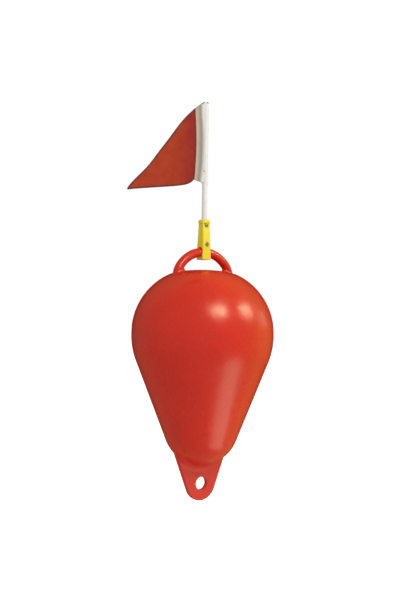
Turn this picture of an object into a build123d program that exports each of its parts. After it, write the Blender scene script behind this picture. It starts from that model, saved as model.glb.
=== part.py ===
from build123d import *
import os
from math import atan2, degrees, hypot, radians, sin, sqrt

# A pear-shaped mooring float with a carry handle, a mooring lug and a clamped flag mast.
# Millimetres. Z is up, the widest ring of the float is the waterline at z = 0, the handle
# and the lug lie in the XZ plane, and the front faces -Y.

# Float body, a solid of revolution about Z
hull_diameter = 320.0  # widest ring
belt_height = 5.0  # straight band under the widest ring
shoulder_inset = 14.0  # axis to the centre of the shoulder's arc
shoulder_lift = 4.0  # height of the shoulder's own arc above the top of the dome
blend_inset = 40.0  # by which the arc between shoulder and cap is the smaller
dome_radius = 400.0  # shallow cap over the top
cone_half_angle = 21.4  # degrees, of the lower cone
nose_radius = 85.0  # round end of the cone
hull_wall = 4.5

# Mooring lug under the nose
lug_thickness = 11.0
lug_end_radius = 38.5  # the end touches the line of the cone, which sets its place
lug_edge_round = 2.5
lug_root_round = 22.0  # wide blend from the nose down to the plate
eye_radius = 14.5
eye_rim_round = 2.0

# Carry handle, a round bar bent to a three-centred arch
bar_diameter = 20.0
handle_span = 142.0  # between the centres of the two legs
handle_clear = 30.0  # hand gap between the dome and the bar
arch_rise = 57.0  # from the springing of the arch to its crown
haunch_radius = 44.0
root_round = 5.5  # blend of each leg into its foot
foot_radius = 22.0  # round foot of each leg, let flush into a seat in the dome
foot_thickness = 2.2

# Two-piece clip that clamps the mast to the crown of the handle
clip_width = 24.0  # along the bar
clip_foot_depth = 26.0  # front to back at the lower end
clip_head_depth = 21.0  # front to back at the upper end
clip_drop = 17.0  # bar centre to the lower end
clip_rise = 74.0  # bar centre to the upper end
clip_corner_round = 3.0
clip_top_round = 4.0
jaw_gap = 0.3  # round the bar
mast_socket_height = 23.0  # bar centre to the floor of the mast socket
mast_gap = 0.15  # round the mast in its socket

# Clamp screws, which cross the clip from front to back
screw_diameter = 5.0
screw_hole_gap = 0.15
screw_head_diameter = 10.0
screw_head_height = 3.2
screw_seat = 8.2  # split plane to the floor of each recess
recess_gap = 0.5  # round each head and nut
nut_across_flats = 8.0
nut_height = 4.0
screw_end = 1.0  # length that stands past the nut
jaw_screw_height = 17.5  # above the bar centre
mast_screw_height = 61.0  # above the bar centre, through the mast

# Mast and its end plug
mast_diameter = 12.0
mast_wall = 1.5
mast_length = 315.0
plug_height = 1.5
plug_depth = 12.0
plug_gap = 0.1
plug_round = 0.8

# Flag sleeve and pennant, sewn together along an upright seam and set out from the mast top
sleeve_gap = 0.3
sleeve_wall = 0.9
sleeve_neck_round = 4.0  # hollow curve where the two layers of the sleeve close
seam_reach = 29.0  # mast axis to the seam
sleeve_top_reach = 10.0  # mast axis to where the top edge starts to slope
seam_top_drop = 20.5  # top of the sleeve down to the top of the seam
seam_length = 157.5
sleeve_foot_drop = 8.5  # foot of the seam down to the foot of the sleeve
flag_fly = 175.0  # seam to the tip
flag_tip_drop = 37.5  # foot of the seam down to the tip
flag_corner_reach = 39.0  # seam to where the bottom edge starts to curve up
flag_corner_drop = 17.0  # foot of the seam down to that point
flag_thickness = 1.2

# Places worked out from the sizes above
hull_radius = hull_diameter / 2
shoulder_radius = hull_radius - shoulder_inset
shoulder_blend = shoulder_radius - blend_inset
dome_height = shoulder_radius - shoulder_lift
cap_z = dome_height - dome_radius
cone_slope = sin(radians(cone_half_angle))
nose_z = -belt_height - (hull_radius - nose_radius) / cone_slope
weld_z = nose_z - nose_radius * cone_slope
eye_z = -belt_height - (hull_radius - lug_end_radius) / cone_slope
bar_radius = bar_diameter / 2
leg_x = handle_span / 2
pivot_z = dome_height + handle_clear + bar_radius
spring_z = pivot_z - arch_rise
haunch_x = leg_x - haunch_radius
crown_radius = (haunch_x**2 + arch_rise**2 - haunch_radius**2) / (2 * (arch_rise - haunch_radius))
clip_foot_z = pivot_z - clip_drop
clip_head_z = pivot_z + clip_rise
mast_radius = mast_diameter / 2
mast_foot_z = pivot_z + mast_socket_height
mast_top_z = mast_foot_z + mast_length
sleeve_bore = mast_radius + sleeve_gap
sleeve_radius = sleeve_bore + sleeve_wall
seam_top_z = mast_top_z - seam_top_drop
seam_foot_z = seam_top_z - seam_length
sleeve_foot_z = seam_foot_z - sleeve_foot_drop


def blend_centre():
    """Centre of the arc that touches both the cap and the shoulder from inside."""
    from_cap = dome_radius - shoulder_blend
    apart = hypot(shoulder_inset, cap_z)
    along = (from_cap**2 - blend_inset**2 + apart**2) / (2 * apart)
    across = sqrt(from_cap**2 - along**2)
    toward_x, toward_z = shoulder_inset / apart, -cap_z / apart
    return along * toward_x + across * toward_z, cap_z + along * toward_z - across * toward_x


def hull_form(inset):
    """Closed form of the float, with its whole surface moved inwards by inset."""
    blend_x, blend_z = blend_centre()
    cap_end = degrees(atan2(blend_z - cap_z, blend_x))
    shoulder_end = degrees(atan2(blend_z, blend_x - shoulder_inset))
    with BuildPart() as form:
        with BuildSketch(Plane.YZ):
            with BuildLine():
                cap = CenterArc((0, cap_z), dome_radius - inset, 90, cap_end - 90)
                CenterArc((blend_x, blend_z), shoulder_blend - inset, cap_end, shoulder_end - cap_end)
                shoulder = CenterArc((shoulder_inset, 0), shoulder_radius - inset, shoulder_end, -shoulder_end)
                belly = CenterArc((0, -belt_height), hull_radius - inset, 0, -cone_half_angle)
                nose = CenterArc((0, nose_z), nose_radius - inset, -cone_half_angle, cone_half_angle - 90)
                Line(shoulder @ 1, belly @ 0)
                Line(belly @ 1, nose @ 0)
                Line(nose @ 1, cap @ 0)
            make_face()
        revolve(axis=Axis.Z)
    return form.part


weld_plane = Plane.XY.offset(weld_z)

# Round bar of the handle, from inside the float over the crown and back
with BuildPart() as bent_bar:
    haunch_angle = degrees(atan2(spring_z - (pivot_z - crown_radius), haunch_x))
    with BuildLine(Plane.XZ) as arch:
        Line((-leg_x, 0), (-leg_x, spring_z))
        CenterArc((-haunch_x, spring_z), haunch_radius, 180, -haunch_angle)
        CenterArc((0, pivot_z - crown_radius), crown_radius, 180 - haunch_angle, 2 * haunch_angle - 180)
        CenterArc((haunch_x, spring_z), haunch_radius, haunch_angle, -haunch_angle)
        Line((leg_x, spring_z), (leg_x, 0))
    with BuildSketch(Plane.XY):
        with Locations((-leg_x, 0)):
            Circle(bar_radius)
    sweep(path=arch.wires()[0])

# Float with the bar run into it and blended at both legs
with BuildPart() as handled_hull:
    add(hull_form(0))
    add(bent_bar.part)
    fillet(handled_hull.edges(Select.NEW), radius=root_round)

# Space that the handle and its two feet take up
with BuildPart() as handle_zone:
    with BuildSketch(Plane.XY):
        with Locations((-leg_x, 0), (leg_x, 0)):
            Circle(foot_radius)
    extrude(amount=dome_height + foot_thickness)
    with BuildSketch(Plane.XY.offset(dome_height + foot_thickness)):
        Rectangle(handle_span + 2 * foot_radius, 2 * foot_radius)
    extrude(amount=handle_clear + bar_diameter)
    add(hull_form(foot_thickness), mode=Mode.SUBTRACT)

# Hollow float with a seat for each foot, open at the weld with the nose
with BuildPart() as float_shell:
    add(hull_form(0))
    add(handle_zone.part, mode=Mode.SUBTRACT)
    add(hull_form(hull_wall), mode=Mode.SUBTRACT)
    split(bisect_by=weld_plane, keep=Keep.TOP)

# Handle with its feet
with BuildPart() as carry_handle:
    add(handled_hull.part)
    add(handle_zone.part, mode=Mode.INTERSECT)

# Flat plate of the lug with its eye
with BuildPart() as lug_plate:
    with BuildSketch(Plane.XZ):
        with BuildLine():
            end = CenterArc((0, eye_z), lug_end_radius, 180 + cone_half_angle, 180 - 2 * cone_half_angle)
            side_rise = weld_z - (end @ 0).Y
            left = PolarLine(end @ 0, side_rise, 90 + cone_half_angle, length_mode=LengthMode.VERTICAL)
            right = PolarLine(end @ 1, side_rise, 90 - cone_half_angle, length_mode=LengthMode.VERTICAL)
            Line(left @ 1, right @ 1)
        make_face()
        with Locations((0, eye_z)):
            Circle(eye_radius, mode=Mode.SUBTRACT)
    extrude(amount=lug_thickness / 2, both=True)
    fillet(lug_plate.edges().filter_by(lambda edge: edge.is_closed), radius=eye_rim_round)
    for face in (lug_plate.faces().sort_by(Axis.Y)[0], lug_plate.faces().sort_by(Axis.Y)[-1]):
        fillet(face.outer_wire().edges().sort_by(Axis.Z)[:-1], radius=lug_edge_round)

# Nose of the float and its lug, one moulding that closes the float at the weld
with BuildPart() as tail_lug:
    with Locations((0, 0, nose_z)):
        Sphere(nose_radius)
    split(bisect_by=weld_plane, keep=Keep.BOTTOM)
    add(lug_plate.part)
    fillet(tail_lug.edges(Select.NEW), radius=lug_root_round)
    with Locations((0, 0, nose_z)):
        Sphere(nose_radius - hull_wall, mode=Mode.SUBTRACT)

# Bell-mouthed hole for the bar, round the line that the clip turns about
with BuildPart() as jaw_hole:
    jaw_reach = clip_width / 2 + jaw_gap
    jaw_radius = bar_radius + jaw_gap
    jaw_flare = crown_radius - sqrt(crown_radius**2 - jaw_reach**2)
    with BuildSketch(Plane.XZ.shift_origin((0, 0, pivot_z))):
        with BuildLine():
            mouth = ThreePointArc(
                (-jaw_reach, jaw_radius + jaw_flare), (0, jaw_radius), (jaw_reach, jaw_radius + jaw_flare)
            )
            Polyline(mouth @ 1, (jaw_reach, 0), (-jaw_reach, 0), mouth @ 0)
        make_face()
    revolve(axis=Axis((0, 0, pivot_z), (1, 0, 0)))

# Whole clip, before it is split into its two halves
with BuildPart() as clip_block:
    with BuildSketch(Plane.XY.offset(clip_foot_z)):
        RectangleRounded(clip_width, clip_foot_depth, clip_corner_round)
    with BuildSketch(Plane.XY.offset(clip_head_z)):
        RectangleRounded(clip_width, clip_head_depth, clip_corner_round)
    loft()
    fillet(clip_block.edges().group_by(Axis.Z)[-1], radius=clip_top_round)
    with BuildSketch(Plane.XY.offset(mast_foot_z)):
        Circle(mast_radius + mast_gap)
    extrude(amount=clip_rise, mode=Mode.SUBTRACT)
    add(jaw_hole.part, mode=Mode.SUBTRACT)

screw_radius = screw_diameter / 2
screw_head_radius = screw_head_diameter / 2
nut_radius = nut_across_flats / 2
screw_places = [(0, pivot_z + jaw_screw_height), (0, pivot_z + mast_screw_height)]
front_seat = Plane.XZ.offset(screw_seat)
rear_seat = Plane.XZ.offset(-screw_seat)

# Front half, with a round recess for each screw head
with BuildPart() as clip_front:
    add(clip_block.part)
    split(bisect_by=Plane.XZ, keep=Keep.TOP)
    with BuildSketch(Plane.XZ):
        with Locations(*screw_places):
            Circle(screw_radius + screw_hole_gap)
    extrude(amount=clip_foot_depth, mode=Mode.SUBTRACT)
    with BuildSketch(front_seat):
        with Locations(*screw_places):
            Circle(screw_head_radius + recess_gap)
    extrude(amount=clip_foot_depth, mode=Mode.SUBTRACT)

# Rear half, with a six-sided recess for each nut
with BuildPart() as clip_rear:
    add(clip_block.part)
    split(bisect_by=Plane.XZ, keep=Keep.BOTTOM)
    with BuildSketch(Plane.XZ):
        with Locations(*screw_places):
            Circle(screw_radius + screw_hole_gap)
    extrude(amount=-clip_foot_depth, mode=Mode.SUBTRACT)
    with BuildSketch(rear_seat):
        with Locations(*screw_places):
            RegularPolygon(nut_radius + recess_gap, 6, major_radius=False)
    extrude(amount=-clip_foot_depth, mode=Mode.SUBTRACT)

# Two clamp screws, heads to the front
with BuildPart() as clamp_screws:
    with BuildSketch(front_seat):
        with Locations(*screw_places):
            Circle(screw_head_radius)
    extrude(amount=screw_head_height)
    fillet(clamp_screws.edges().group_by(Axis.Y)[0], radius=screw_head_height / 2)
    with BuildSketch(front_seat):
        with Locations(*screw_places):
            Circle(screw_radius)
    extrude(amount=-(2 * screw_seat + nut_height + screw_end))

# Their nuts, at the back
with BuildPart() as clamp_nuts:
    with BuildSketch(rear_seat):
        with Locations(*screw_places):
            RegularPolygon(nut_radius, 6, major_radius=False)
            Circle(screw_radius, mode=Mode.SUBTRACT)
    extrude(amount=-nut_height)

# Tube mast, drilled for the upper screw
with BuildPart() as mast_tube:
    with BuildSketch(Plane.XY.offset(mast_foot_z)):
        Circle(mast_radius)
        Circle(mast_radius - mast_wall, mode=Mode.SUBTRACT)
    extrude(amount=mast_length - plug_height)
    with BuildSketch(Plane.XZ):
        with Locations((0, pivot_z + mast_screw_height)):
            Circle(screw_radius + screw_hole_gap)
    extrude(amount=mast_diameter, both=True, mode=Mode.SUBTRACT)

# Plug in the open end of the mast
with BuildPart() as mast_plug:
    with BuildSketch(Plane.XY.offset(mast_top_z - plug_height)):
        Circle(mast_radius)
    extrude(amount=plug_height)
    fillet(mast_plug.edges().group_by(Axis.Z)[-1], radius=plug_round)
    with BuildSketch(Plane.XY.offset(mast_top_z - plug_height)):
        Circle(mast_radius - mast_wall - plug_gap)
    extrude(amount=-plug_depth)

# Sleeve of the flag, wrapped round the mast and closed on itself, with its ends cut on the slope
with BuildPart() as flag_sleeve:
    with BuildSketch(Plane.XY.offset(sleeve_foot_z)) as wrap:
        Circle(sleeve_radius)
        with Locations((-seam_reach, 0)):
            Rectangle(seam_reach, 2 * sleeve_wall, align=(Align.MIN, Align.CENTER))
        fillet(wrap.vertices().group_by(Axis.X)[1], radius=sleeve_neck_round)
        Circle(sleeve_bore, mode=Mode.SUBTRACT)
    extrude(amount=mast_top_z - sleeve_foot_z)
    with BuildSketch(Plane.XZ):
        Polygon(
            (sleeve_radius, sleeve_foot_z),
            (-sleeve_top_reach, sleeve_foot_z),
            (-seam_reach, seam_foot_z),
            (-seam_reach, seam_top_z),
            (-sleeve_top_reach, mast_top_z - plug_height),
            (sleeve_radius, mast_top_z - plug_height),
            align=None,
        )
    extrude(amount=sleeve_radius, both=True, mode=Mode.INTERSECT)

# Pennant, sewn to the sleeve along the seam
with BuildPart() as flag_cloth:
    with BuildSketch(Plane.XZ):
        with BuildLine():
            top = (-seam_reach, seam_top_z)
            foot = (-seam_reach, seam_foot_z)
            tip = (-seam_reach - flag_fly, seam_foot_z - flag_tip_drop)
            bend = (-seam_reach - flag_corner_reach, seam_foot_z - flag_corner_drop)
            Polyline(foot, top, tip)
            edge = Line(tip, bend)
            TangentArc(bend, foot, tangent=edge % 1)
        make_face()
    extrude(amount=flag_thickness / 2, both=True)

pieces = {
    "float_shell": float_shell,
    "tail_lug": tail_lug,
    "carry_handle": carry_handle,
    "clip_front": clip_front,
    "clip_rear": clip_rear,
    "clamp_screws": clamp_screws,
    "clamp_nuts": clamp_nuts,
    "mast_tube": mast_tube,
    "mast_plug": mast_plug,
    "flag_sleeve": flag_sleeve,
    "flag_cloth": flag_cloth,
}
os.makedirs("parts", exist_ok=True)
for name, piece in pieces.items():
    piece.part.label = name
    export_step(piece.part, f"parts/{name}.step")
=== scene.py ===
from contextlib import contextmanager
from math import atan2, copysign, cos, exp, pi, radians, sin, sqrt

import bmesh
import bpy
from bpy.props import FloatProperty, FloatVectorProperty, IntProperty, PointerProperty
from mathutils import Matrix, Vector


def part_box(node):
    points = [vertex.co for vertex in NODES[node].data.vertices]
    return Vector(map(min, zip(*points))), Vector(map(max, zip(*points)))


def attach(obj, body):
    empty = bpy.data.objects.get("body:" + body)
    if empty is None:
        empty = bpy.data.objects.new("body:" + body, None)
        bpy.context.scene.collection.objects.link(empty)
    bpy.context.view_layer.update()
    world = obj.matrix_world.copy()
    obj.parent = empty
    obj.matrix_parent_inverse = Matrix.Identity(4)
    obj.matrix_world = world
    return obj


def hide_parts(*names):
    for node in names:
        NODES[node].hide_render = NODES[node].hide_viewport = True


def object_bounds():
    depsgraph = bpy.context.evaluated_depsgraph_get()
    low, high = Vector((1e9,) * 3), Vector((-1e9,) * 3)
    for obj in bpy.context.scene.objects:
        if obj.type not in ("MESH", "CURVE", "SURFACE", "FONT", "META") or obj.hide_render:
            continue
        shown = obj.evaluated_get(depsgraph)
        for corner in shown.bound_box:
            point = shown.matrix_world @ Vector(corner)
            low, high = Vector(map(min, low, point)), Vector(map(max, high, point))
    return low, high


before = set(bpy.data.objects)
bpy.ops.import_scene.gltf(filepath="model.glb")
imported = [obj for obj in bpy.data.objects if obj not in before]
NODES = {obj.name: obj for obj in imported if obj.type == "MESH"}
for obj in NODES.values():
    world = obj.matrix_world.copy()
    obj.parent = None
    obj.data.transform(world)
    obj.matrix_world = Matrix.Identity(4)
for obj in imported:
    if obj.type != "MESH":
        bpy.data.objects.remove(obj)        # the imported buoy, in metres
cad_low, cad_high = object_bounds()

bl_info = {
    "name": "Mooring Buoy",
    "version": (1, 0, 0),
    "blender": (4, 5, 0),
    "location": "View3D > Sidebar > Buoy",
    "description": "Finishes, flag, fasteners and studio of a pear-shaped mooring buoy",
    "category": "Object",
}

# Sizes that come from the frame
mast_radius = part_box("mast_tube")[1].x
sleeve_low, sleeve_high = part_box("flag_sleeve")
flag_low, flag_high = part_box("flag_cloth")
screws_low, screws_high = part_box("clamp_screws")
nuts_low, nuts_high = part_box("clamp_nuts")
clip_low, clip_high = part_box("clip_front")

MM = 0.001
TOUCH = 1e-6  # places closer than this are one
WHITE = (1.0, 1.0, 1.0, 1.0)
BLACK = (0.0, 0.0, 0.0, 1.0)


def colour_prop(name, description, default):
    return FloatVectorProperty(
        name=name, description=description, default=default, subtype="COLOR", size=3, min=0.0, max=1.0
    )


def length_prop(name, description, default):
    return FloatProperty(name=name, description=description, default=default, unit="LENGTH", precision=5)


def share_prop(name, description, default):
    return FloatProperty(
        name=name, description=description, default=default, subtype="FACTOR", min=0.0, max=1.0
    )


def angle_prop(name, description, default):
    return FloatProperty(name=name, description=description, default=radians(default), subtype="ANGLE")


def power_prop(name, description, default):
    return FloatProperty(name=name, description=description, default=default, unit="POWER", min=0.0)


class BuoyFinish(bpy.types.PropertyGroup):
    """Colours and gloss of every surface"""
    float_red: colour_prop("Float", "Moulded skin of the float, its lug and the handle", (0.62, 0.016, 0.003))
    float_deep: colour_prop("Float, deeper", "Darker cloud in the float's colour", (0.54, 0.012, 0.004))
    clip_yellow: colour_prop("Clip", "Moulded clip", (0.79, 0.69, 0.018))
    clip_deep: colour_prop("Clip, deeper", "Darker cloud in the clip's colour", (0.76, 0.54, 0.018))
    mast_white: colour_prop("Mast", "White tube", (0.75, 0.73, 0.71))
    sleeve_white: colour_prop("Sleeve", "White coated cloth", (0.75, 0.725, 0.71))
    # Sleeve strip: beige with a painted pink reflection of the red cloth. Sleeve fold: grime with the mast's
    # painted shade
    strip_beige_and_reflection: colour_prop("Sleeve strip", "Doubled strip with the pennant inside", (0.47, 0.335, 0.29))
    fold_grime_and_shade: colour_prop("Sleeve fold", "Grime and painted shade in the fold beside the mast", (0.25, 0.23, 0.205))
    # Flag: darker at the seam and paler towards the tip, partly from fading and partly as painted light and
    # shade
    flag_red: colour_prop("Flag", "Red woven cloth at the seam", (0.285, 0.013, 0.008))
    flag_faded_and_lit: colour_prop("Flag, faded and lit", "Red woven cloth towards the tip", (0.378, 0.029, 0.007))
    # Hems and seam strips: dark red, as painted shade on the flag's edges and a painted shadow along its seam
    hem_red: colour_prop("Hem", "Folded edge of the flag", (0.13, 0.011, 0.008))
    flag_thread: colour_prop("Flag thread", "Dark red thread of the hems", (0.16, 0.014, 0.011))
    sleeve_thread: colour_prop("Sleeve thread", "Pale thread of the seam", (0.60, 0.50, 0.43))
    tack_thread: colour_prop("Tack thread", "Dark thread on the sleeve's top", (0.06, 0.055, 0.05))
    steel: colour_prop("Steel", "Passivated screws and nuts", (0.22, 0.185, 0.085))
    steel_stain: colour_prop("Steel, stained", "Tarnish on the screws and nuts", (0.32, 0.28, 0.16))
    rivet_grey: colour_prop("Rivet", "Pale grey plastic of the rivet", (0.46, 0.45, 0.43))
    float_gloss: share_prop("Float roughness", "Roughness of the float at its smoothest", 0.22)
    handle_gloss: share_prop("Handle roughness", "Roughness of the handle at its smoothest", 0.20)
    lug_satin: share_prop("Lug satin", "Roughness added on the lug and the hollow above it", 0.24)


class BuoyCloth(bpy.types.PropertyGroup):
    """Sizes of the sleeve and the pennant"""
    sheet: length_prop("Cloth", "Thickness of one layer of cloth", 0.45 * MM)
    slack: length_prop("Slack", "Gap between the sleeve and the mast", 0.35 * MM)
    puff: length_prop("Puff", "How far the sleeve's strip stands off between its stitches", 0.4 * MM)
    seam_length: length_prop("Seam", "Height of the seam between sleeve and pennant", 157.5 * MM)
    seam_bow: length_prop("Seam bow", "How far the middle of the seam is pulled towards the mast", 4.0 * MM)
    neck_round: length_prop("Neck", "Hollow curve where the sleeve's layers close beside the mast", 16.0 * MM)
    top_reach: length_prop("Top slope", "Mast axis to where the sleeve's ends start to slope", 8.0 * MM)
    tuck: length_prop("Tuck", "Margin of the pennant that is sewn in between the sleeve's layers", 8.0 * MM)
    foot_rise: length_prop("Foot rise", "How far the sleeve has crept up the mast", 5.0 * MM)
    tip_back: length_prop("Tip back", "How far the ripples pull the pennant's tip back", 2.0 * MM)
    edge_swell: length_prop("Edge swell", "Swell of the pennant's upper edge near the seam", 6.8 * MM)
    edge_hollow: length_prop("Edge hollow", "Hollow of the pennant's upper edge past its middle", 7.2 * MM)
    hem_slope: share_prop("Hem slope", "Fall of the pennant's lower edge towards the tip", 0.15)
    corner_rise: length_prop("Corner rise", "Rise of the lower edge to the seam", 13.0 * MM)
    corner_scale: length_prop("Corner scale", "Length over which that corner dies out", 10.0 * MM)
    hem_lift: length_prop("Hem lift", "Rise of the lower edge between the tip and that corner", 1.8 * MM)
    tip_width: length_prop("Tip", "Width of the pennant's blunt tip", 3.0 * MM)
    ripple: length_prop("Ripple", "Height of the soft folds in the pennant", 7.0 * MM)
    hem_width: length_prop("Hem", "Width of the folded hem", 2.8 * MM)
    # The dark strip along the seam is a painted shadow
    seam_shadow_width: length_prop("Seam shadow", "Width of the dark strip along the seam, a painted shadow", 2.8 * MM)
    stitch_length: length_prop("Stitch", "Length of one stitch", 2.4 * MM)
    stitch_pitch: length_prop("Stitch pitch", "Length of one stitch and the gap after it", 3.4 * MM)
    thread: length_prop("Thread", "Thickness of the sewing thread", 0.5 * MM)


class BuoyFasteners(bpy.types.PropertyGroup):
    """Sizes of the clip, its collar, the clamp screws, their nuts and the rivet on the sleeve"""
    clip_head: length_prop("Clip head", "Width of the clip at its upper end", 18.0 * MM)
    clip_core: length_prop("Clip core", "Half width of the clip's inner part, which keeps its form", 8.0 * MM)
    clip_face: length_prop("Clip face", "Half depth of the clip at its upper end", 8.8 * MM)
    clip_seat: length_prop("Clip seat", "Split plane to the floor of the screws' recesses", 8.2 * MM)
    clip_knee: share_prop("Clip knee", "Share of the clip's height above which its depth narrows", 0.34)
    clip_settle: length_prop("Clip settle", "How far the clip's rounded top is lower", 1.5 * MM)
    collar_height: length_prop("Collar", "Height of the collar at the top of the clip", 8.2 * MM)
    collar_depth: length_prop("Collar depth", "The collar from front to back", 22.4 * MM)
    collar_width: length_prop("Collar width", "The collar from side to side", 23.0 * MM)
    collar_corner: length_prop("Collar corner", "Rounding of the collar's upright corners", 6.5 * MM)
    collar_round: length_prop("Collar round", "Rounding of the collar's upper rim", 2.6 * MM)
    collar_break: length_prop("Collar break", "Rounding of the collar's lower rim", 0.7 * MM)
    head_height: length_prop("Head", "Height of the screw's head", 3.2 * MM)
    head_round: length_prop("Head round", "Rounding of the screw's head", 1.5 * MM)
    slot_reach: length_prop("Recess reach", "Length of each arm of the cross recess", 2.6 * MM)
    slot_width: length_prop("Recess width", "Width of the cross recess", 1.2 * MM)
    slot_depth: length_prop("Recess depth", "Depth of the cross recess", 1.9 * MM)
    shank_radius: length_prop("Shank", "Radius of the screw's shank", 2.5 * MM)
    thread_pitch: length_prop("Thread pitch", "Pitch of the screw thread", 0.8 * MM)
    thread_turns: IntProperty(name="Thread turns", description="Turns of thread", default=7, min=1)
    rivet_radius: length_prop("Rivet", "Radius of the rivet on the sleeve", 1.9 * MM)
    rivet_proud: length_prop("Rivet proud", "How far the rivet stands out of the sleeve", 0.8 * MM)
    rivet_height: length_prop("Rivet height", "Height of the rivet above the waterline", 364.0 * MM)
    rivet_turn: angle_prop("Rivet turn", "Direction of the rivet round the mast, from the front", -47.0)


class BuoyStudio(bpy.types.PropertyGroup):
    """Camera, lights and floor"""
    azimuth: angle_prop("Azimuth", "Direction of the camera round the buoy, from the front", -35.0)
    distance: length_prop("Distance", "Camera to the buoy's axis", 1.8)
    eye_height: length_prop("Eye height", "Height of the camera above the waterline", 0.0732)
    field: length_prop("Field", "Height that the picture shows at the buoy's axis", 1.3544)
    roll: angle_prop("Roll", "Turn of the picture", 0.9)
    aside: share_prop("Aside", "Share of the picture's height by which the axis is right of centre", 0.00416)
    floor_drop: length_prop("Floor", "Floor below the lowest point of the buoy", 0.38)
    floor_lift: share_prop("Floor lift", "Brightness added to the floor where it is seen", 0.68)
    lamp_tint: colour_prop("Lamp tint", "Colour of the soft lamps", (1.0, 0.96, 0.87))
    card_tint: colour_prop("Card tint", "Colour of the lamps' bright faces", (0.76, 1.0, 0.66))
    streak_tint: colour_prop("Streak tint", "Colour of the bright strip on the floor", (0.74, 0.98, 0.70))
    key_power: power_prop("Key", "Soft lamp in front, high on the right", 10.5)
    side_power: power_prop("Side", "Soft lamp on the right", 4.2)
    low_power: power_prop("Low", "Low lamp on the right", 0.5)
    fill: share_prop("Fill", "Even light from all round", 0.64)


def finish():
    return bpy.context.scene.buoy_finish


def cloth():
    return bpy.context.scene.buoy_cloth


def fasteners():
    return bpy.context.scene.buoy_fasteners


def studio():
    return bpy.context.scene.buoy_studio


# Steps of modelling by hand
def deselect():
    bpy.ops.object.select_all(action="DESELECT")


def named(name):
    """Names the object that was made last."""
    obj = bpy.context.active_object
    obj.name = name
    obj.data.name = name
    return obj


def activate(obj):
    deselect()
    obj.select_set(True)
    bpy.context.view_layer.objects.active = obj


ELEMENTS = {"VERT": "verts", "EDGE": "edges", "FACE": "faces"}


@contextmanager
def editing(obj, kind="VERT", test=None):
    """Edit mode with all selected, or only the verts, edges or faces whose middle passes the test."""
    activate(obj)
    bpy.ops.object.mode_set(mode="EDIT")
    bpy.ops.mesh.select_mode(type=kind)
    bpy.ops.mesh.select_all(action="DESELECT" if test else "SELECT")
    if test:
        mesh = bmesh.from_edit_mesh(obj.data)
        for item in getattr(mesh, ELEMENTS[kind]):
            corners = [item.co] if kind == "VERT" else [vert.co for vert in item.verts]
            if test(sum(corners, Vector()) / len(corners)):
                item.select_set(True)
        bmesh.update_edit_mesh(obj.data)
    yield
    bpy.ops.object.mode_set(mode="OBJECT")


def settle(obj):
    """Puts the object's place into its mesh."""
    activate(obj)
    bpy.ops.object.transform_apply(location=True, rotation=True, scale=True)


def tidy(obj):
    """Merges doubles and turns all faces outwards."""
    with editing(obj):
        bpy.ops.mesh.remove_doubles(threshold=TOUCH)
        bpy.ops.mesh.normals_make_consistent(inside=False)


def bevel_where(obj, test, width, segments):
    """Bevels the edges whose middle passes the test."""
    with editing(obj, "EDGE", test):
        bpy.ops.mesh.bevel(offset=width, segments=segments, profile=0.5, affect="EDGES")


def apply_modifier(obj, kind, **values):
    activate(obj)
    bpy.ops.object.modifier_add(type=kind)
    modifier = obj.modifiers[-1]
    for name, value in values.items():
        setattr(modifier, name, value)
    bpy.ops.object.modifier_apply(modifier=modifier.name)


def cut(obj, tool, operation="DIFFERENCE"):
    """Applies a boolean with the tool and removes the tool."""
    apply_modifier(obj, "BOOLEAN", operation=operation, solver="EXACT", object=tool)
    bpy.data.objects.remove(tool)


def join(objs, name):
    deselect()
    for obj in objs:
        obj.select_set(True)
    bpy.context.view_layer.objects.active = objs[0]
    bpy.ops.object.join()
    return named(name)


def smooth(obj, angle=35):
    activate(obj)
    bpy.ops.object.shade_smooth_by_angle(angle=radians(angle))


def dress(obj, material, body):
    """Gives a new piece its finish and the body that it moves with."""
    obj.data.materials.clear()
    obj.data.materials.append(material)
    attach(obj, body)


def copies(pattern, places, name):
    """One mesh with a copy of the pattern at each place, a matrix each."""
    made = []
    for place in places:
        other = pattern.copy()
        other.data = pattern.data.copy()
        other.data.transform(place)
        bpy.context.collection.objects.link(other)
        made.append(other)
    bpy.data.objects.remove(pattern)
    return join(made, name)


def block(name, size, middle):
    """A box of a size with its middle at a point."""
    deselect()
    bpy.ops.mesh.primitive_cube_add(size=1.0, location=middle)
    obj = named(name)
    obj.scale = size
    settle(obj)
    return obj


def ring(name, radius, depth, y, vertices=48):
    """A round or many-sided bar along Y, with its middle at y."""
    deselect()
    bpy.ops.mesh.primitive_cylinder_add(
        vertices=vertices, radius=radius, depth=depth, location=(0, y, 0), rotation=(pi / 2, 0, 0)
    )
    obj = named(name)
    settle(obj)
    return obj


def round_rim(obj, y, width, segments):
    """Bevels the edges of the flat end at y."""
    bevel_where(obj, lambda middle: abs(middle.y - y) < TOUCH, width, segments)


def shaped_grid(name, columns, rows, shape, flat):
    """A grid whose points are put in place by shape(u, v), with u across and v up, both from 0 to 1.

    Its map is the cloth laid flat, in metres, as flat(u, v) gives it.
    """
    deselect()
    bpy.ops.mesh.primitive_grid_add(x_subdivisions=columns, y_subdivisions=rows, size=1.0, calc_uvs=True)
    obj = named(name)
    for vert in obj.data.vertices:
        vert.co = shape(vert.co.x + 0.5, vert.co.y + 0.5)
    for corner in obj.data.uv_layers.active.data:
        corner.uv = flat(*corner.uv)
    obj.data.update()
    return obj


def placed(point, along, outward):
    """Matrix that lays a piece made along Y on a surface, with its Z outwards."""
    across = along.cross(outward).normalized()
    ahead = along.normalized()
    turn = Matrix((across, ahead, across.cross(ahead))).transposed().to_4x4()
    return Matrix.Translation(point) @ turn


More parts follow.
